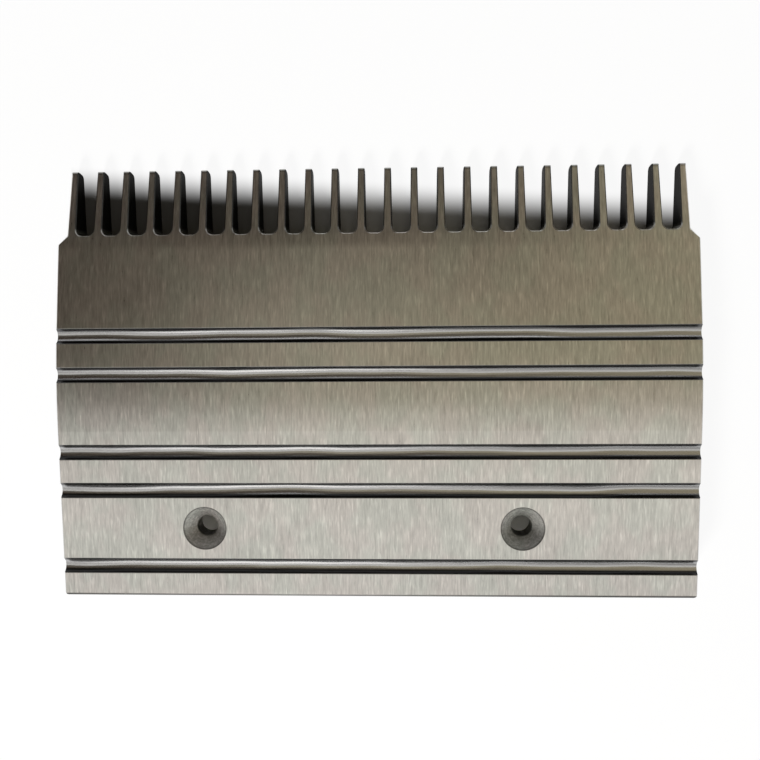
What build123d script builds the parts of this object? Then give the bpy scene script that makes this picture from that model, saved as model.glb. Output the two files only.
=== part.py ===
"""Escalator comb plate: one extruded and machined aluminium segment.

The plate lies with its screwed-down seat level. Its front half bends down
towards the steps and ends in a row of teeth that mesh with the step grooves.
The teeth dip a little more steeply than the plate behind them.
+X runs along the row of teeth, +Y points to the tooth tips, +Z points up.
The origin is on the seat, midway between the two screw holes.
All sizes are in millimetres.
"""

import os
from math import acos, cos, radians, sin

from build123d import *

# Teeth
TOOTH_PITCH = 25.4 / 3
TOOTH_COUNT = 24
TOOTH_LENGTH = 21.8
TOOTH_ROOT_WIDTH = 2.7
TOOTH_TIP_WIDTH = 2.1
TOOTH_TIP_HEIGHT = 4.4
SLOT_ROOT_RADIUS = 2.0
TIP_CORNER_RADIUS = 0.6
TIP_TOP_RADIUS = 0.8
TIP_BOTTOM_RADIUS = 1.4
SLOT_EDGE_CHAMFER = 0.3
CHAMFER_ANGLE = 45

# Plate, with distances measured along the top face from the rear edge
PLATE_THICKNESS = 9.6
ROOT_DISTANCE = 116.9
FLAT_LENGTH = 54.0
BEND_LENGTH = 34.0
BEND_ANGLE = 9.6
DIP_LENGTH = 5.0
DIP_ANGLE = 5.0
REAR_CORNER_RADIUS = 1.5
REAR_TOP_RADIUS = 1.0
SEAT_EDGE_RADIUS = 0.6
SHOULDER_CHAMFER = 2.9
SHOULDER_RADIUS = 1.0
SIDE_EDGE_CHAMFER = 0.3

# Tread grooves, on an even spacing that is left out in two rows
GROOVE_SPACING = 12.4
FIRST_GROOVE_DISTANCE = 10.1
GROOVE_STEPS = (0, 2, 3, 5, 6)
GROOVE_RADIUS = 2.6
GROOVE_DEPTH = 1.6
GROOVE_LIP_RADIUS = 0.25

# Screw holes for countersunk screws, in the first row that has no groove
SCREW_HOLE_STEP = 1
SCREW_SPACING_PITCHES = 12
SCREW_OFFSET_PITCHES = 0.5
BORE_DIAMETER = 6.6
COUNTERSINK_DIAMETER = 13.9
COUNTERSINK_ANGLE = 90

# Underside
SEAT_LENGTH = 48.0
RELIEF_DEPTH = 3.0
RELIEF_CORNER_RADIUS = 1.5
HEEL_LENGTH = 12.0
HEEL_RADIUS = 1.5

# Sizes worked out from the ones above
PLATE_WIDTH = TOOTH_PITCH * TOOTH_COUNT
TIP_DISTANCE = ROOT_DISTANCE + TOOTH_LENGTH
FRONT_LENGTH = ROOT_DISTANCE - FLAT_LENGTH - BEND_LENGTH - DIP_LENGTH
HOLE_DISTANCE = FIRST_GROOVE_DISTANCE + SCREW_HOLE_STEP * GROOVE_SPACING
HOLE_HALF_SPACING = SCREW_SPACING_PITCHES * TOOTH_PITCH / 2
PLATE_CENTRE_X = SCREW_OFFSET_PITCHES * TOOTH_PITCH
BEYOND = 5.0

# Stretches of the top face from the rear edge to past the tips: length and downward turn
COURSE = (
    (FLAT_LENGTH, 0.0),
    (BEND_LENGTH, BEND_ANGLE),
    (FRONT_LENGTH, 0.0),
    (DIP_LENGTH, DIP_ANGLE),
    (TOOTH_LENGTH + BEYOND, 0.0),
)


def place(distance, depth=0.0):
    """Side-view point (Y, Z) at a distance along the top face and a depth under it."""
    y, z, lean = -HOLE_DISTANCE, PLATE_THICKNESS, 0.0
    rest = distance
    for length, angle in COURSE:
        run = min(rest, length)
        rest -= run
        if angle:
            radius = length / radians(angle)
            turned = lean + run / radius
            y += radius * (sin(turned) - sin(lean))
            z += radius * (cos(turned) - cos(lean))
            lean = turned
        else:
            y += run * cos(lean)
            z -= run * sin(lean)
    return y - depth * sin(lean), z - depth * cos(lean)


def draw_course(start, end, depth):
    """Draw the line that keeps one depth under the top face, straight or bent with it."""
    near, stop = start, 0.0
    for length, angle in COURSE:
        stop += length
        far = min(stop, end)
        if near < far and angle:
            ThreePointArc(place(near, depth), place((near + far) / 2, depth), place(far, depth))
        elif near < far:
            Line(place(near, depth), place(far, depth))
        near = max(near, far)


def band(start, end, top_depth, bottom_depth):
    """Side-view face between two depths under the top face."""
    with BuildSketch() as sketch:
        with BuildLine():
            draw_course(start, end, top_depth)
            draw_course(start, end, bottom_depth)
            Line(place(start, top_depth), place(start, bottom_depth))
            Line(place(end, top_depth), place(end, bottom_depth))
        make_face()
    return sketch.sketch


def tooth_underside():
    """Side-view wedge of metal that is missing under the teeth."""
    heel = place(ROOT_DISTANCE, PLATE_THICKNESS)
    below_heel = place(ROOT_DISTANCE, PLATE_THICKNESS + BEYOND)
    below_tip = place(TIP_DISTANCE + BEYOND, PLATE_THICKNESS + BEYOND)
    rise = (PLATE_THICKNESS - TOOTH_TIP_HEIGHT) / TOOTH_LENGTH
    past_tip = place(TIP_DISTANCE + BEYOND, TOOTH_TIP_HEIGHT - rise * BEYOND)
    return make_face(Polyline(heel, below_heel, below_tip, past_tip, close=True))


def groove_outline(stop):
    """Side view of a tread groove with rounded lips, carried on above the top face."""
    rise = GROOVE_RADIUS - GROOVE_DEPTH
    lip_centre_reach = GROOVE_RADIUS + GROOVE_LIP_RADIUS
    lip_turn = acos((rise + GROOVE_LIP_RADIUS) / lip_centre_reach)
    mouth_half = lip_centre_reach * sin(lip_turn)
    lip_turns = (0, lip_turn / 2, lip_turn)
    wall_tops = []
    mouth_corners = []
    with BuildSketch() as sketch:
        with BuildLine():
            for side in (-1, 1):
                lip = [
                    place(
                        stop + side * (mouth_half - GROOVE_LIP_RADIUS * sin(turn)),
                        GROOVE_LIP_RADIUS * (1 - cos(turn)),
                    )
                    for turn in lip_turns
                ]
                mouth_corner = place(stop + side * mouth_half, -BEYOND)
                ThreePointArc(*lip)
                Line(lip[0], mouth_corner)
                wall_tops.append(lip[-1])
                mouth_corners.append(mouth_corner)
            ThreePointArc(wall_tops[0], place(stop, GROOVE_DEPTH), wall_tops[1])
            Line(*mouth_corners)
        make_face()
    return sketch.sketch


def corners_near(face, points, reach):
    """Corners of a side-view face that lie within reach of any of the points."""
    marks = [Vector(*point) for point in points]
    return face.vertices().filter_by(
        lambda corner: any((Vector(corner.X, corner.Y) - mark).length < reach for mark in marks)
    )


def side_section():
    """Side view of the plate that its whole width shares."""
    section = band(0, TIP_DISTANCE, 0, PLATE_THICKNESS)
    section -= tooth_underside()

    relief_end = ROOT_DISTANCE - HEEL_LENGTH
    relief = band(SEAT_LENGTH, relief_end, PLATE_THICKNESS - RELIEF_DEPTH, PLATE_THICKNESS + BEYOND)
    ceiling = [place(stop, PLATE_THICKNESS - RELIEF_DEPTH) for stop in (SEAT_LENGTH, relief_end)]
    relief = fillet(corners_near(relief, ceiling, RELIEF_DEPTH / 2), RELIEF_CORNER_RADIUS)
    section -= relief

    for step in GROOVE_STEPS:
        section -= groove_outline(FIRST_GROOVE_DISTANCE + step * GROOVE_SPACING)

    rear_top, rear_bottom = place(0), place(0, PLATE_THICKNESS)
    tip_top, tip_bottom = place(TIP_DISTANCE), place(TIP_DISTANCE, TOOTH_TIP_HEIGHT)
    heel = place(ROOT_DISTANCE, PLATE_THICKNESS)
    for point, radius in (
        (rear_top, REAR_TOP_RADIUS),
        (rear_bottom, SEAT_EDGE_RADIUS),
        (tip_top, TIP_TOP_RADIUS),
        (tip_bottom, TIP_BOTTOM_RADIUS),
        (heel, HEEL_RADIUS),
    ):
        section = fillet(corners_near(section, [point], radius / 2), radius)
    return section


def slot_centres():
    """X of the middle of every slot between two teeth."""
    left_x = PLATE_CENTRE_X - PLATE_WIDTH / 2
    return [left_x + step * TOOTH_PITCH for step in range(1, TOOTH_COUNT)]


def slot_outline(root_y, tip_y):
    """Plan view of the tapered slot between two teeth, with a rounded root."""
    spread = (TOOTH_ROOT_WIDTH - TOOTH_TIP_WIDTH) / (tip_y - root_y) * BEYOND
    root_half = (TOOTH_PITCH - TOOTH_ROOT_WIDTH) / 2
    end_half = (TOOTH_PITCH - TOOTH_TIP_WIDTH + spread) / 2
    end_y = tip_y + BEYOND
    outline = make_face(Polyline(
        (-root_half, root_y), (root_half, root_y), (end_half, end_y), (-end_half, end_y), close=True,
    ))
    root_corners = outline.vertices().filter_by(lambda corner: corner.Y < root_y + SLOT_ROOT_RADIUS)
    return fillet(root_corners, SLOT_ROOT_RADIUS)


def shoulder_outline(root_y, tip_y):
    """Plan view of the space outside the last tooth, down to the bevelled shoulder."""
    spread = (TOOTH_ROOT_WIDTH - TOOTH_TIP_WIDTH) / (tip_y - root_y) * BEYOND
    tooth_x = PLATE_WIDTH / 2 - TOOTH_PITCH / 2
    root_x = tooth_x + TOOTH_ROOT_WIDTH / 2
    end_x = tooth_x + (TOOTH_TIP_WIDTH - spread) / 2
    end_y = tip_y + BEYOND
    far_x = root_x + SHOULDER_CHAMFER + BEYOND
    return make_face(Polyline(
        (root_x, root_y), (far_x, root_y - SHOULDER_CHAMFER - BEYOND), (far_x, end_y), (end_x, end_y),
        close=True,
    ))


def plan_outline():
    """Plan view of the plate: rounded rear corners, bevelled shoulders and teeth."""
    rear_y, _ = place(0)
    root_y, _ = place(ROOT_DISTANCE)
    tip_y, _ = place(TIP_DISTANCE)
    length = tip_y - rear_y
    outline = Pos(0, (rear_y + tip_y) / 2) * Rectangle(PLATE_WIDTH, length)

    slot = slot_outline(root_y, tip_y)
    outline -= [Pos(x - PLATE_CENTRE_X, 0) * slot for x in slot_centres()]
    shoulder = shoulder_outline(root_y, tip_y)
    outline -= shoulder
    outline -= mirror(shoulder, Plane.YZ)

    rear_corners = outline.vertices().filter_by(lambda corner: corner.Y < rear_y + REAR_CORNER_RADIUS)
    outline = fillet(rear_corners, REAR_CORNER_RADIUS)
    tip_corners = outline.vertices().filter_by(lambda corner: corner.Y > tip_y - TIP_CORNER_RADIUS)
    outline = fillet(tip_corners, TIP_CORNER_RADIUS)
    side_corners = outline.vertices().filter_by(
        lambda corner: abs(corner.X) > PLATE_WIDTH / 2 - SHOULDER_CHAMFER * 2
        and root_y - SHOULDER_CHAMFER * 2 < corner.Y < root_y + SHOULDER_CHAMFER / 2
        and abs(corner.X) > PLATE_WIDTH / 2 - TOOTH_PITCH / 2
    )
    return fillet(side_corners, SHOULDER_RADIUS)


def screw_holes():
    """The two countersunk holes as solids to cut away."""
    hole = CounterSinkHole(
        radius=BORE_DIAMETER / 2,
        counter_sink_radius=COUNTERSINK_DIAMETER / 2,
        depth=PLATE_THICKNESS,
        counter_sink_angle=COUNTERSINK_ANGLE,
    )
    return [Pos(side * HOLE_HALF_SPACING, 0, PLATE_THICKNESS) * hole for side in (-1, 1)]


def flared(outline, size):
    """Solid above a front outline that opens out and bevels the top edges by a size."""
    root_y, root_z = place(ROOT_DISTANCE, size)
    lean = radians(BEND_ANGLE + DIP_ANGLE)
    front = Plane(origin=(0, root_y, root_z), x_dir=(1, 0, 0), z_dir=(0, sin(lean), cos(lean)))
    return extrude(front * outline, amount=2 * size, taper=-CHAMFER_ANGLE)


def slot_edge_chamfers():
    """Solids to cut away, which bevel the top edges along every slot."""
    flare = flared(slot_outline(0, TOOTH_LENGTH), SLOT_EDGE_CHAMFER)
    return [Pos(x, 0, 0) * flare for x in slot_centres()]


def side_edge_chamfers():
    """Solids to cut away, which bevel the top edges along the sides and the shoulders."""
    above = band(-BEYOND, TIP_DISTANCE + BEYOND, 0, -BEYOND)
    inside = Plane.YZ.offset(PLATE_WIDTH / 2 - SIDE_EDGE_CHAMFER)
    side = extrude(inside * above, amount=2 * SIDE_EDGE_CHAMFER, taper=-CHAMFER_ANGLE)
    shoulder = flared(shoulder_outline(0, TOOTH_LENGTH), SIDE_EDGE_CHAMFER)
    pair = [side, shoulder]
    pair += [mirror(flare, Plane.YZ) for flare in pair]
    return [Pos(PLATE_CENTRE_X, 0, 0) * flare for flare in pair]


def comb_plate():
    """The whole plate: the side section run through the plan outline."""
    width = extrude(Plane.YZ * side_section(), amount=PLATE_WIDTH, both=True)
    low_z = -PLATE_WIDTH
    plan = extrude(Pos(PLATE_CENTRE_X, 0, low_z) * plan_outline(), amount=PLATE_WIDTH * 2)
    plate = width & plan
    plate -= slot_edge_chamfers()
    plate -= side_edge_chamfers()
    plate -= screw_holes()
    return plate


os.makedirs("parts", exist_ok=True)
part = comb_plate()
part.label = "comb_plate"
export_step(part, "parts/comb_plate.step")
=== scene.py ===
"""Looks of the escalator comb plate: brushed aluminium on a white table, seen from above.

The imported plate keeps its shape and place. This script gives it one procedural
material whose parts are told apart by place and slope, and adds a floor, a soft
room light and the photograph's camera. Lengths in the shader are millimetres.
"""

from math import atan, cos, radians, sin, tan

import bpy
from mathutils import Euler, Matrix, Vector

MILLIMETRE = 0.001

# Sizes of the plate in its own frame, in millimetres
PLATE_TOP = 9.6
REAR_Y = -22.5
BEND_START_Y = 31.5
BEND_LENGTH = 34.0
FRONT_ANGLE = radians(9.6)
BEND_RADIUS = BEND_LENGTH / FRONT_ANGLE
BEND_REACH = BEND_RADIUS * sin(FRONT_ANGLE)
DIP_Y = 91.3
TOOTH_ANGLE = radians(14.6)
SLOT_ROOT_Y = 93.8
TIP_Y = 114.9
TOOTH_PITCH = 25.4 / 3
HALF_WIDTH = 12 * TOOTH_PITCH
PLATE_MIDDLE_X = TOOTH_PITCH / 2
GROOVE_SPACING = 12.4
GROOVES_END_Y = 65.5
HOLE_X = 50.8
COUNTERSINK_RADIUS = 6.95
BORE_RADIUS = 3.3

# Camera that matches the photograph
IMAGE_SIZE = 760
CAMERA_PLACE = (0.01599, 0.07377, 0.25986)
CAMERA_TURN = (-5.970, 2.240, -0.515)
FOCAL_PIXELS = 805.99
SENSOR_WIDTH = 36.0
NEAREST_SEEN = 0.01
FARTHEST_SEEN = 20.0

# Bare metal: colours of the brushed lands, warmer and cooler, and of the extruded grooves
WARM_METAL = (0.625, 0.60, 0.57)
COOL_METAL = (0.60, 0.605, 0.567)
GROOVE_METAL = (0.60, 0.60, 0.60)

# Finish of the metal: brush marks in millimetres, and roughness of the parts that aren't brushed
MARK_DEPTH = 0.004
ANISOTROPY = 0.3
GROOVE_ROUGHNESS = 0.27
HOLE_ROUGHNESS = 0.6
SIDE_ROUGHNESS = 0.42

# Table: the colour that lights the plate, the colour seen under it, and the painted shadow colour under
# the left slots
WHITE = (1.0, 1.0, 1.0)
TABLE_COLOUR = (0.8, 0.8, 0.79)
SHADED_COLOUR = (0.85, 0.85, 0.84)
SLOT_SHADE_COLOUR = (0.20, 0.195, 0.19)

# Room light: its colours, named by their directions from the plate
REAR_HIGH = (1.12, 1.10, 1.06)
REAR_LOW = (0.80, 0.785, 0.76)
REAR_DIM = (0.43, 0.42, 0.41)
OVERHEAD_MIDDLE = (0.68, 0.63, 0.51)
OVERHEAD_RIGHT = (0.42, 0.37, 0.26)
OVERHEAD_LEFT = (0.05, 0.037, 0.029)
FRONT_MIDDLE = (0.12, 0.10, 0.08)
FRONT_LOW = (0.16, 0.15, 0.14)
ROOM_ON_TABLE = 0.35
LEAST_HEIGHT = 0.02

# Lamps
LAMP_COLOUR = (1.0, 0.98, 0.95)
LAMP_AIM = (0.0, 0.04, 0.0)
GROOVE_LAMP_PLACE = (-0.20, -0.72, 0.65)
GROOVE_LAMP_SIZE = (0.40, 0.46)
GROOVE_LAMP_POWER = 0.95
TABLE_LAMP_PLACE = (-0.40, -0.85, 0.64)
TABLE_LAMP_SIZE = (0.25, 0.25)
TABLE_LAMP_POWER = 20.0


class Graph:
    """Adds nodes to a node tree, so that a shader is written as formulas."""

    def __init__(self, tree):
        self.tree = tree
        tree.nodes.clear()

    def node(self, kind, **settings):
        made = self.tree.nodes.new(kind)
        for name, value in settings.items():
            setattr(made, name, value)
        return made

    def feed(self, socket, value):
        """Wire a socket to another one, or give it a plain value."""
        if isinstance(value, bpy.types.NodeSocket):
            self.tree.links.new(value, socket)
        else:
            socket.default_value = value

    def math(self, operation, *values):
        made = self.node("ShaderNodeMath", operation=operation)
        for socket, value in zip(made.inputs, values):
            self.feed(socket, value)
        return made.outputs[0]

    def chain(self, operation, first, *others):
        """One operation over many values, from left to right."""
        total = first
        for value in others:
            total = self.math(operation, total, value)
        return total

    def add(self, *values):
        return self.chain("ADD", *values)

    def times(self, *values):
        return self.chain("MULTIPLY", *values)

    def either(self, *values):
        return self.chain("MAXIMUM", *values)

    def minus(self, value, taken):
        return self.math("SUBTRACT", value, taken)

    def size(self, value):
        return self.math("ABSOLUTE", value)

    def flip(self, value):
        return self.minus(1.0, value)

    def length(self, x, y):
        return self.math("SQRT", self.add(self.times(x, x), self.times(y, y)))

    def step(self, value, low, high):
        """Smooth step from 0 at low to 1 at high."""
        made = self.node("ShaderNodeMapRange", interpolation_type="SMOOTHSTEP")
        self.feed(made.inputs["Value"], value)
        self.feed(made.inputs["From Min"], low)
        self.feed(made.inputs["From Max"], high)
        return made.outputs["Result"]

    def turn_step(self, value, low, high):
        """Smooth step between two angles in degrees, for a value that is an angle's tangent."""
        return self.step(value, tan(radians(low)), tan(radians(high)))

    def span(self, value, low, high):
        """Straight run from low to high as the value goes from 0 to 1."""
        made = self.node("ShaderNodeMapRange")
        self.feed(made.inputs["Value"], value)
        self.feed(made.inputs["To Min"], low)
        self.feed(made.inputs["To Max"], high)
        return made.outputs["Result"]

    def toned(self, part, tone):
        """The tone where the part is, and 1 elsewhere."""
        return self.span(part, 1.0, tone)

    def split(self, vector):
        made = self.node("ShaderNodeSeparateXYZ")
        self.feed(made.inputs[0], vector)
        return made.outputs[0], made.outputs[1], made.outputs[2]

    def join(self, x, y, z):
        made = self.node("ShaderNodeCombineXYZ")
        for socket, value in zip(made.inputs, (x, y, z)):
            self.feed(socket, value)
        return made.outputs[0]

    def scale(self, vector, factor):
        made = self.node("ShaderNodeVectorMath", operation="SCALE")
        self.feed(made.inputs[0], vector)
        self.feed(made.inputs["Scale"], factor)
        return made.outputs[0]

    def blend(self, share, first, second, kind="FLOAT"):
        """First where the share is 0, second where it is 1."""
        made = self.node("ShaderNodeMix", data_type=kind)
        index = {"FLOAT": 2, "VECTOR": 4, "RGBA": 6}[kind]
        self.feed(made.inputs[0], share)
        for socket, value in ((made.inputs[index], first), (made.inputs[index + 1], second)):
            if kind == "RGBA" and not isinstance(value, bpy.types.NodeSocket):
                value = (*value, 1.0)
            self.feed(socket, value)
        return made.outputs[index // 2 - 1]

    def blend_colours(self, share, first, second):
        return self.blend(share, first, second, "RGBA")

    def noise(self, vector, detail, roughness=0.5, scale=1.0):
        made = self.node("ShaderNodeTexNoise")
        self.feed(made.inputs["Vector"], vector)
        made.inputs["Scale"].default_value = scale
        made.inputs["Detail"].default_value = detail
        made.inputs["Roughness"].default_value = roughness
        return made.outputs["Fac"]

    def marks(self, across, along, rates, layer, detail, roughness=0.5):
        """Noise that changes at its own rate across and along, per millimetre."""
        vector = self.join(self.times(across, rates[0]), self.times(along, rates[1]), layer)
        return self.noise(vector, detail, roughness)

    def bump(self, height):
        """Normal of a surface whose height is given in millimetres."""
        made = self.node("ShaderNodeBump")
        made.inputs["Strength"].default_value = 1.0
        made.inputs["Distance"].default_value = MILLIMETRE
        self.feed(made.inputs["Height"], height)
        return made.outputs[0]

    def plain_shader(self, kind, colour):
        made = self.node(kind)
        made.inputs["Color"].default_value = (*colour, 1.0)
        return made.outputs[0]

    def shader_mix(self, share, first, second):
        made = self.node("ShaderNodeMixShader")
        for socket, value in zip(made.inputs, (share, first, second)):
            self.feed(socket, value)
        return made.outputs[0]


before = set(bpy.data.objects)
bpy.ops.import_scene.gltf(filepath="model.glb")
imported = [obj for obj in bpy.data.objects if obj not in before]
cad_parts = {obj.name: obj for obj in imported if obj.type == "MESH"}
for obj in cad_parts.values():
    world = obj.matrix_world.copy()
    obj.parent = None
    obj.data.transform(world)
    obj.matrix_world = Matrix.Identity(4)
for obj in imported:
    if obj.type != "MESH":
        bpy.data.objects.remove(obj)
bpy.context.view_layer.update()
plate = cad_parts["comb_plate"]


def new_material(name):
    """An empty material and the graph that its shader is written in."""
    material = bpy.data.materials.new(name)
    material.use_nodes = True
    return material, Graph(material.node_tree)


def place_in_millimetres(graph):
    """Position on the plate or the table, in millimetres."""
    position = graph.node("ShaderNodeNewGeometry").outputs["Position"]
    return graph.split(graph.scale(position, 1 / MILLIMETRE))


def distance_from_middle(graph, x):
    """How far a point lies to either side of the plate's middle."""
    return graph.size(graph.minus(x, PLATE_MIDDLE_X))


def ray_is_seen(graph):
    """1 for rays that show the surface to the camera, straight or by a reflection."""
    path = graph.node("ShaderNodeLightPath").outputs
    return graph.either(path["Is Camera Ray"], path["Is Glossy Ray"], path["Is Transmission Ray"])


def around_plate(graph, x, y):
    """1 on the table around the plate and 0 under it, with the border pulled in beside the teeth."""
    inset = 2.3
    shadow_skew = 0.06
    past_roots = graph.step(y, SLOT_ROOT_Y, SLOT_ROOT_Y + 2.0)
    beside = graph.add(distance_from_middle(graph, x), graph.times(past_roots, inset))
    skewed_y = graph.add(y, graph.times(x, shadow_skew))
    return graph.either(
        graph.step(beside, HALF_WIDTH - 1.0, HALF_WIDTH + 1.5),
        graph.step(y, REAR_Y + 1.0, REAR_Y - 1.0),
        graph.step(skewed_y, SLOT_ROOT_Y + 7.0, TIP_Y - 3.0),
    )


def floor_material():
    """White table: shaded under the plate, with a painted shadow under the left slots, and plain white
    with a faint shadow around it.
    """
    material, graph = new_material("white_table")
    x, y, _ = place_in_millimetres(graph)

    # Around the plate the table glows, and keeps a trace of the shadow that fades with distance
    glow_near, glow_far = 0.93, 1.0
    fade_start, fade_end = 160.0, 500.0
    far = graph.step(graph.length(x, y), fade_start, fade_end)
    pale = graph.plain_shader("ShaderNodeBsdfDiffuse", WHITE)
    white = graph.plain_shader("ShaderNodeEmission", WHITE)
    ring = graph.shader_mix(graph.span(far, glow_near, glow_far), pale, white)

    # Painted shadow: under the slots on the left the table is coloured darker
    right_of_shade = graph.step(x, -50.0, 15.0)
    behind_shade = graph.step(y, SLOT_ROOT_Y, SLOT_ROOT_Y - 20.0)
    shaded_colour = graph.blend_colours(
        graph.either(right_of_shade, behind_shade), SLOT_SHADE_COLOUR, SHADED_COLOUR
    )
    shaded = graph.node("ShaderNodeBsdfDiffuse")
    graph.feed(shaded.inputs["Color"], shaded_colour)

    table = graph.plain_shader("ShaderNodeBsdfDiffuse", TABLE_COLOUR)
    seen = graph.shader_mix(around_plate(graph, x, y), shaded.outputs[0], ring)
    output = graph.node("ShaderNodeOutputMaterial")
    graph.feed(output.inputs["Surface"], graph.shader_mix(ray_is_seen(graph), table, seen))
    return material


def support_slope(mesh):
    """Slope of the table that touches the heel and the rear edge, and the heel's (Y, Z)."""
    points = [(vertex.co.y, vertex.co.z) for vertex in mesh.vertices]
    heel_y, heel_z = min(points, key=lambda point: point[1])
    least_reach = 20 * MILLIMETRE
    slope = min((z - heel_z) / (heel_y - y) for y, z in points if y < heel_y - least_reach)
    return slope, heel_y, heel_z


def table_profile():
    """Radius and height of each ring of the table, from its flat part up its rim."""
    flat_radius, rim_radius, rim_height = 1.2, 1.2, 1.2
    flat_rings, rim_rings = 4, 16
    profile = [(flat_radius * k / flat_rings, 0.0) for k in range(1, flat_rings + 1)]
    for k in range(1, rim_rings + 1):
        turn = radians(90) * k / rim_rings
        profile.append((flat_radius + rim_radius * sin(turn), rim_height * (1 - cos(turn))))
    return profile


def table_mesh():
    """Round table whose rim rises into a backdrop on every side."""
    sides = 96
    profile = table_profile()
    corners = [Vector((0.0, 0.0, 0.0))]
    for radius, height in profile:
        for side in range(sides):
            turn = radians(360) * side / sides
            corners.append(Vector((radius * cos(turn), radius * sin(turn), height)))
    faces = [(0, 1 + side, 1 + (side + 1) % sides) for side in range(sides)]
    for ring in range(len(profile) - 1):
        inner = 1 + ring * sides
        outer = inner + sides
        for side in range(sides):
            after = (side + 1) % sides
            faces.append((inner + side, outer + side, outer + after, inner + after))
    mesh = bpy.data.meshes.new("table")
    mesh.from_pydata(corners, [], faces)
    for face in mesh.polygons:
        face.use_smooth = True
    return mesh


def make_floor():
    """Table under the plate, sloped so that it touches the heel and the rear edge."""
    slope, heel_y, heel_z = support_slope(plate.data)
    mesh = table_mesh()
    mesh.materials.append(floor_material())
    table = bpy.data.objects.new("table", mesh)
    bpy.context.scene.collection.objects.link(table)
    table.rotation_euler = (-atan(slope), 0.0, 0.0)
    table.location = (0.0, 0.0, heel_z + slope * heel_y)


def ceiling_colour(graph, across, along):
    """Olive on the right, brighter over the middle, darkest on the left and dim in front."""
    patch = graph.times(graph.turn_step(across, 2, -3), graph.turn_step(along, 2, 8))
    front = graph.times(graph.turn_step(across, 15, 11), graph.turn_step(along, 16, 24))
    ceiling = graph.blend_colours(patch, OVERHEAD_RIGHT, OVERHEAD_MIDDLE)
    ceiling = graph.blend_colours(front, ceiling, FRONT_MIDDLE)
    ceiling = graph.blend_colours(graph.turn_step(across, -11, -17), ceiling, OVERHEAD_LEFT)
    return graph.blend_colours(graph.turn_step(along, 42, 60), ceiling, FRONT_LOW)


def make_room_light():
    """Soft room: bright behind the plate, dim in front and darkest overhead on the left."""
    world = bpy.data.worlds.new("room")
    bpy.context.scene.world = world
    world.use_nodes = True
    graph = Graph(world.node_tree)

    # Tangents of a direction's angles from straight up, to the right and to the front
    x, y, z = graph.split(graph.node("ShaderNodeTexCoord").outputs["Generated"])
    height = graph.either(z, LEAST_HEIGHT)
    across = graph.math("DIVIDE", x, height)
    along = graph.math("DIVIDE", y, height)

    wall = graph.blend_colours(graph.turn_step(along, -14, -22), REAR_HIGH, REAR_LOW)
    wall = graph.blend_colours(graph.turn_step(along, -24, -42), wall, REAR_DIM)
    ceiling = ceiling_colour(graph, across, along)
    colour = graph.blend_colours(graph.turn_step(along, -3, -12), ceiling, wall)

    background = graph.node("ShaderNodeBackground")
    graph.feed(background.inputs["Color"], colour)
    graph.feed(background.inputs["Strength"], graph.span(ray_is_seen(graph), ROOM_ON_TABLE, 1.0))
    output = graph.node("ShaderNodeOutputWorld")
    graph.feed(output.inputs["Surface"], background.outputs[0])


def make_lamp(name, place, size, power, shows_in):
    """Soft rectangular lamp that lights the table, or shows in the metal, but not both."""
    lamp = bpy.data.lights.new(name, "AREA")
    lamp.shape = "RECTANGLE"
    lamp.size, lamp.size_y = size
    lamp.energy = power
    lamp.color = LAMP_COLOUR
    holder = bpy.data.objects.new(name, lamp)
    holder.location = place
    aim = Vector(LAMP_AIM) - Vector(place)
    holder.rotation_euler = aim.to_track_quat("-Z", "Y").to_euler()
    holder.visible_camera = False
    holder.visible_diffuse = shows_in == "table"
    holder.visible_glossy = shows_in == "metal"
    bpy.context.scene.collection.objects.link(holder)


def run_into_bend(graph, y):
    """How far a point lies past the start of the bend, level with the seat, up to its end."""
    past = graph.minus(y, BEND_START_Y)
    return graph.math("MINIMUM", graph.either(past, 0.0), BEND_REACH)


def depth_under_top(graph, y, z, in_bend):
    """How far a point lies under the top face: level, bent, straight, and steeper at the teeth."""
    chord = graph.math("SQRT", graph.minus(BEND_RADIUS ** 2, graph.times(in_bend, in_bend)))
    beyond = graph.either(graph.minus(y, BEND_START_Y + BEND_REACH), 0.0)
    dipped = graph.either(graph.minus(y, DIP_Y), 0.0)
    face_z = graph.add(
        chord,
        PLATE_TOP - BEND_RADIUS,
        graph.times(beyond, -tan(FRONT_ANGLE)),
        graph.times(dipped, tan(FRONT_ANGLE) - tan(TOOTH_ANGLE)),
    )
    return graph.minus(face_z, z)


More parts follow.
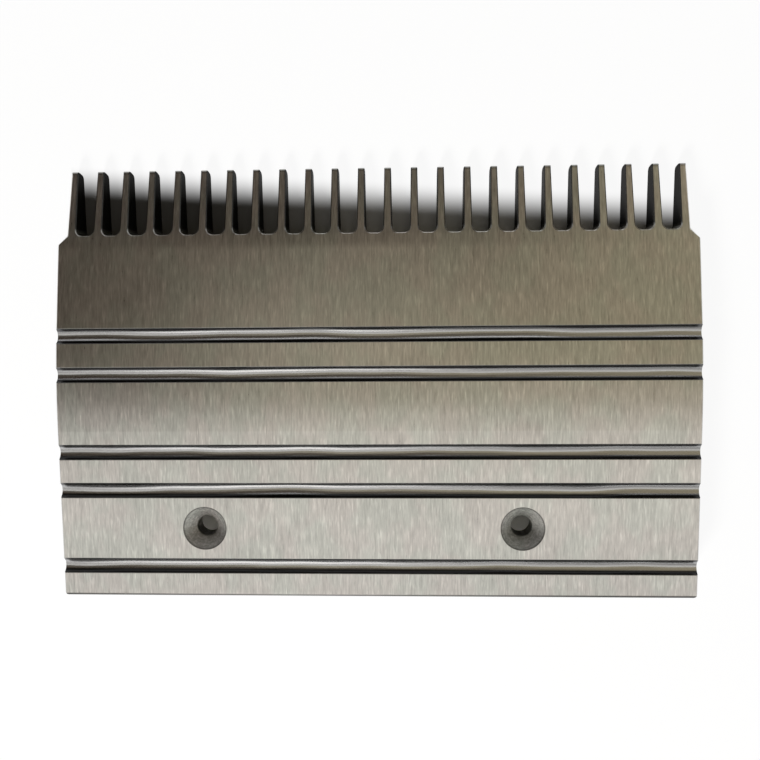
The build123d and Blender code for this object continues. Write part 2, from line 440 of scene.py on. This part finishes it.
class Surface:
    """Place and slope of a point on the plate, and its parts: each is 1 on the part and 0 elsewhere."""

    def __init__(self, graph):
        self.x, self.y, self.z = place_in_millimetres(graph)
        normal = graph.node("ShaderNodeNewGeometry").outputs["Normal"]
        facing_x, self.facing_y, self.facing_z = graph.split(normal)
        self.steep_x = graph.size(facing_x)
        in_bend = run_into_bend(graph, self.y)
        self.depth = depth_under_top(graph, self.y, self.z, in_bend)
        self.lean_y = graph.minus(self.facing_y, graph.times(in_bend, 1 / BEND_RADIUS))
        self.from_middle = distance_from_middle(graph, self.x)
        self.under = graph.step(self.facing_z, -0.2, -0.5)
        self.above = graph.flip(self.under)
        self.upward = graph.step(self.facing_z, 0.1, 0.4)
        self.find_holes(graph)
        self.find_sides(graph)
        self.find_teeth(graph)
        self.find_grooves(graph)

    def find_holes(self, graph):
        """Countersinks with their bores, and the bores alone."""
        self.to_hole = graph.minus(graph.size(self.x), HOLE_X)
        self.hole_distance = graph.length(self.to_hole, self.y)
        near_cone = graph.step(self.hole_distance, COUNTERSINK_RADIUS + 0.15, COUNTERSINK_RADIUS + 0.05)
        near_bore = graph.step(self.hole_distance, BORE_RADIUS + 0.2, BORE_RADIUS + 0.1)
        self.in_hole = graph.times(self.above, near_cone)
        self.in_bore = graph.times(self.above, near_bore)

    def find_sides(self, graph):
        """The plate's two sides and its rear face."""
        self.outer_side = graph.times(
            graph.step(self.from_middle, HALF_WIDTH - 0.4, HALF_WIDTH - 0.2),
            graph.step(self.steep_x, 0.6, 0.8),
        )
        self.rear_face = graph.times(
            graph.step(self.y, REAR_Y + 1.2, REAR_Y + 0.8),
            graph.step(self.facing_y, -0.15, -0.4),
        )

    def find_teeth(self, graph):
        """Teeth, slot walls, the bevels along the slots, at their roots and beyond them, and the tips."""
        end_tooth_x = 97.5
        self.at_teeth = graph.step(self.y, SLOT_ROOT_Y - 0.8, SLOT_ROOT_Y - 0.3)
        self.slot_wall = graph.times(self.at_teeth, self.above, graph.step(self.facing_z, 0.6, 0.4))
        self.inside = graph.step(self.from_middle, end_tooth_x + 0.2, end_tooth_x - 0.2)
        slot_edge = graph.times(self.at_teeth, self.inside, graph.step(self.steep_x, 0.15, 0.4))
        beyond_roots = graph.step(self.y, SLOT_ROOT_Y + 0.5, SLOT_ROOT_Y + 2.5)
        self.tooth_edge = graph.times(slot_edge, beyond_roots)
        self.root_edge = graph.times(slot_edge, graph.flip(beyond_roots))
        self.tips = graph.times(graph.step(self.y, TIP_Y - 1.6, TIP_Y - 0.5), self.above)

    def find_grooves(self, graph):
        """Grooves, and the small rounded lips beside them."""
        others = graph.either(self.in_hole, self.under, self.outer_side, self.rear_face, self.at_teeth)
        behind_front_land = graph.step(self.y, GROOVES_END_Y, GROOVES_END_Y - 0.5)
        sunk = graph.step(self.depth, 0.03, 0.12)
        self.groove = graph.times(sunk, behind_front_land, graph.flip(others))
        leaning = graph.step(graph.size(self.lean_y), 0.08, 0.35)
        elsewhere = graph.flip(graph.either(self.groove, others))
        self.lips = graph.times(leaning, behind_front_land, elsewhere)


def mark_directions(graph, surface):
    """Places across and along the marks: along Y on top, along X in grooves, behind and below."""
    arc_radius = 6.0
    level_marks = graph.either(surface.groove, surface.rear_face, surface.under)
    side_marks = graph.either(surface.outer_side, surface.slot_wall)
    across = graph.blend(level_marks, surface.x, graph.add(surface.y, surface.z))
    across = graph.blend(side_marks, across, surface.z)
    across = graph.blend(surface.in_hole, across, surface.hole_distance)
    turn = graph.math("ARCTAN2", graph.size(surface.y), surface.to_hole)
    along = graph.blend(level_marks, surface.y, surface.x)
    along = graph.blend(surface.in_hole, along, graph.times(turn, arc_radius))
    return across, along


def brushed_tone(graph, surface, across, along, streaks):
    """Lands: fine streaks, short bright flecks, broad bands and faint patches."""
    broad = graph.marks(across, along, rates=(0.6, 0.05), layer=0.0, detail=2.0)
    dashes = graph.marks(across, along, rates=(1.5, 0.20), layer=9.0, detail=2.0)
    patches = graph.marks(surface.x, surface.y, rates=(0.035, 0.05), layer=5.0, detail=3.0)
    flecks = graph.step(dashes, 0.50, 0.75)
    fleck_gain = 0.24
    return graph.add(
        graph.span(streaks, 0.55, 1.38),
        graph.span(broad, -0.20, 0.20),
        graph.times(flecks, fleck_gain),
        graph.span(patches, -0.10, 0.10),
    )


def groove_tone(graph, surface, streaks):
    """Extruded grooves: duller than the brushed lands, with painted shade that tones the front half
    darker than the rear half and darkens the lips.
    """
    # Painted shade: each half of a groove gets its own tone, and the lips are darkened, the rear lip
    # almost to black
    front_half, rear_half = 0.80, 0.95
    front_lip_shade, rear_lip_shade = 0.25, 0.05
    lip_lean = graph.times(graph.add(surface.lean_y, surface.facing_y), 0.5)
    return graph.times(
        graph.span(graph.step(surface.lean_y, -0.05, 0.42), front_half, rear_half),
        graph.toned(graph.step(surface.lean_y, -0.48, -0.72), front_lip_shade),
        graph.toned(graph.step(lip_lean, 0.40, 0.62), rear_lip_shade),
        graph.span(streaks, 0.90, 1.10),
    )


def cone_tone(graph, surface):
    """Countersinks: grainy, with painted light and shade that brightens the front half, dims the rear
    half and darkens the rim.
    """
    grain_rate = 1.3
    # Painted light and shade: tone set by which way the cone faces, and a dark rim
    rear_half_shade, front_half_light = 0.50, 1.05
    rim = 0.45
    place = graph.join(surface.x, surface.y, surface.z)
    grain = graph.noise(place, detail=2.0, roughness=0.7, scale=grain_rate)
    near_rim = graph.step(surface.hole_distance, COUNTERSINK_RADIUS - 0.5, COUNTERSINK_RADIUS)
    return graph.times(
        graph.span(graph.step(surface.facing_y, 0.5, -0.5), rear_half_shade, front_half_light),
        graph.span(grain, 0.40, 1.65),
        graph.toned(near_rim, rim),
    )


def painted_slot_shade(graph, surface):
    """Share of the painted shade that makes the slot walls near black, which stays off the top and the
    tips' ends.
    """
    most = 0.94
    return graph.times(
        surface.slot_wall,
        graph.step(surface.depth, 0.05, 0.45),
        graph.step(surface.facing_y, 0.6, 0.3),
        surface.inside,
        most,
    )


def rear_edge_shade(graph, surface):
    """Painted shade along the rounded rear edge, darkest towards its ends."""
    middle, end = 0.75, 0.25
    ends = graph.step(surface.from_middle, 20.0, 92.0)
    strip = graph.times(surface.upward, graph.step(surface.y, REAR_Y + 1.2, REAR_Y + 0.3))
    return graph.blend(strip, 1.0, graph.span(ends, middle, end))


def metal_colour(graph, surface, brushed, grooved, painted_wall_shade):
    """Tint of the metal times the tone of the part that a point lies on. The tones of the slot walls, the
    bevels along the slots, the bores, the tips, the lips, the rounded rear edge and the countersinks'
    halves and rims are painted shade.
    """
    # Painted shade: these tones darken the slot walls, bores, tips, lips, the bevels along the slots and
    # the rounded rear edge
    wall_shade_tone, bore_shade, tip_shade = 0.35, 0.55, 0.5
    tooth_edge_shade, root_edge_shade = 0.06, 0.45
    lip_shade, rear_face_shade = 0.32, 0.35
    shade = graph.times(
        graph.blend(surface.groove, brushed, grooved),
        graph.toned(painted_wall_shade, wall_shade_tone),
        graph.toned(surface.tooth_edge, tooth_edge_shade),
        graph.toned(surface.root_edge, root_edge_shade),
        graph.blend(surface.in_hole, 1.0, cone_tone(graph, surface)),
        graph.toned(surface.in_bore, bore_shade),
        graph.toned(surface.tips, tip_shade),
        graph.toned(surface.lips, lip_shade),
        graph.toned(graph.times(surface.rear_face, surface.upward), rear_face_shade),
        rear_edge_shade(graph, surface),
    )
    tint = graph.marks(surface.x, surface.y, rates=(0.09, 0.06), layer=21.0, detail=3.0)
    colour = graph.blend_colours(graph.step(tint, 0.40, 0.60), WARM_METAL, COOL_METAL)
    colour = graph.blend_colours(surface.groove, colour, GROOVE_METAL)
    return graph.scale(colour, shade)


def metal_roughness(graph, surface, streaks):
    """Brushed lands vary with the streaks; grooves, holes, sides and the underside are even."""
    smoothest, roughest = 0.24, 0.36
    sides = graph.either(surface.under, surface.outer_side, surface.slot_wall)
    roughness = graph.span(streaks, smoothest, roughest)
    roughness = graph.blend(surface.groove, roughness, GROOVE_ROUGHNESS)
    roughness = graph.blend(surface.in_hole, roughness, HOLE_ROUGHNESS)
    return graph.blend(sides, roughness, SIDE_ROUGHNESS)


def groove_waves(graph, surface):
    """Height by which each groove's floor rolls to and fro a little along its length."""
    roll_rate, row_offset, most_roll = 0.03, 7.3, 0.4
    row = graph.math("FLOOR", graph.times(graph.add(surface.y, GROOVE_SPACING * 1.5), 1 / GROOVE_SPACING))
    off_middle = graph.minus(graph.add(surface.y, GROOVE_SPACING), graph.times(row, GROOVE_SPACING))
    roll = graph.marks(surface.x, row, rates=(roll_rate, row_offset), layer=1.0, detail=1.0)
    return graph.times(graph.span(roll, -most_roll, most_roll), off_middle)


def metal_material():
    """Brushed top, smooth grooves, milled slots and turned countersinks in one material, with painted
    shade in the slots, holes, grooves, lips, tips and along the rear edge.
    """
    material, graph = new_material("brushed_aluminium")
    surface = Surface(graph)
    across, along = mark_directions(graph, surface)
    streaks = graph.marks(across, along, rates=(1.9, 0.20), layer=3.0, detail=3.0, roughness=0.6)
    brushed = brushed_tone(graph, surface, across, along, streaks)
    grooved = groove_tone(graph, surface, streaks)
    # Painted shade on the slot walls: a dark, barely metallic colour with almost no sheen
    painted_wall_shade = painted_slot_shade(graph, surface)
    bare_gloss, wall_shade_gloss = 0.5, 0.006
    gloss = graph.span(graph.step(painted_wall_shade, 0.0, 0.9), bare_gloss, wall_shade_gloss)
    brush_marks = graph.bump(graph.times(streaks, MARK_DEPTH))
    waves = graph.bump(groove_waves(graph, surface))

    shader = graph.node("ShaderNodeBsdfPrincipled")
    shader.inputs["Anisotropic"].default_value = ANISOTROPY
    graph.feed(shader.inputs["Base Color"], metal_colour(graph, surface, brushed, grooved, painted_wall_shade))
    # The slot walls' painted shade also takes away their metal and their sheen
    graph.feed(shader.inputs["Metallic"], graph.flip(painted_wall_shade))
    graph.feed(shader.inputs["Specular IOR Level"], gloss)
    graph.feed(shader.inputs["Tangent"], graph.join(1.0, 0.0, 0.0))
    graph.feed(shader.inputs["Roughness"], metal_roughness(graph, surface, streaks))
    graph.feed(shader.inputs["Normal"], graph.blend(surface.groove, brush_marks, waves, "VECTOR"))
    output = graph.node("ShaderNodeOutputMaterial")
    graph.feed(output.inputs["Surface"], shader.outputs[0])
    return material


def make_camera():
    """Camera at the photograph's place, looking down on the plate."""
    camera = bpy.data.cameras.new("photo_camera")
    camera.sensor_width = SENSOR_WIDTH
    camera.lens = FOCAL_PIXELS / IMAGE_SIZE * SENSOR_WIDTH
    camera.clip_start = NEAREST_SEEN
    camera.clip_end = FARTHEST_SEEN
    holder = bpy.data.objects.new("photo_camera", camera)
    holder.location = CAMERA_PLACE
    holder.rotation_euler = Euler([radians(turn) for turn in CAMERA_TURN], "XYZ")
    bpy.context.scene.collection.objects.link(holder)
    bpy.context.scene.camera = holder


make_camera()
make_floor()
make_room_light()
make_lamp("groove_lamp", GROOVE_LAMP_PLACE, GROOVE_LAMP_SIZE, GROOVE_LAMP_POWER, "metal")
make_lamp("table_lamp", TABLE_LAMP_PLACE, TABLE_LAMP_SIZE, TABLE_LAMP_POWER, "table")
metal = metal_material()
for slot in plate.material_slots:
    slot.material = metal
bpy.context.scene.view_settings.view_transform = "Standard"
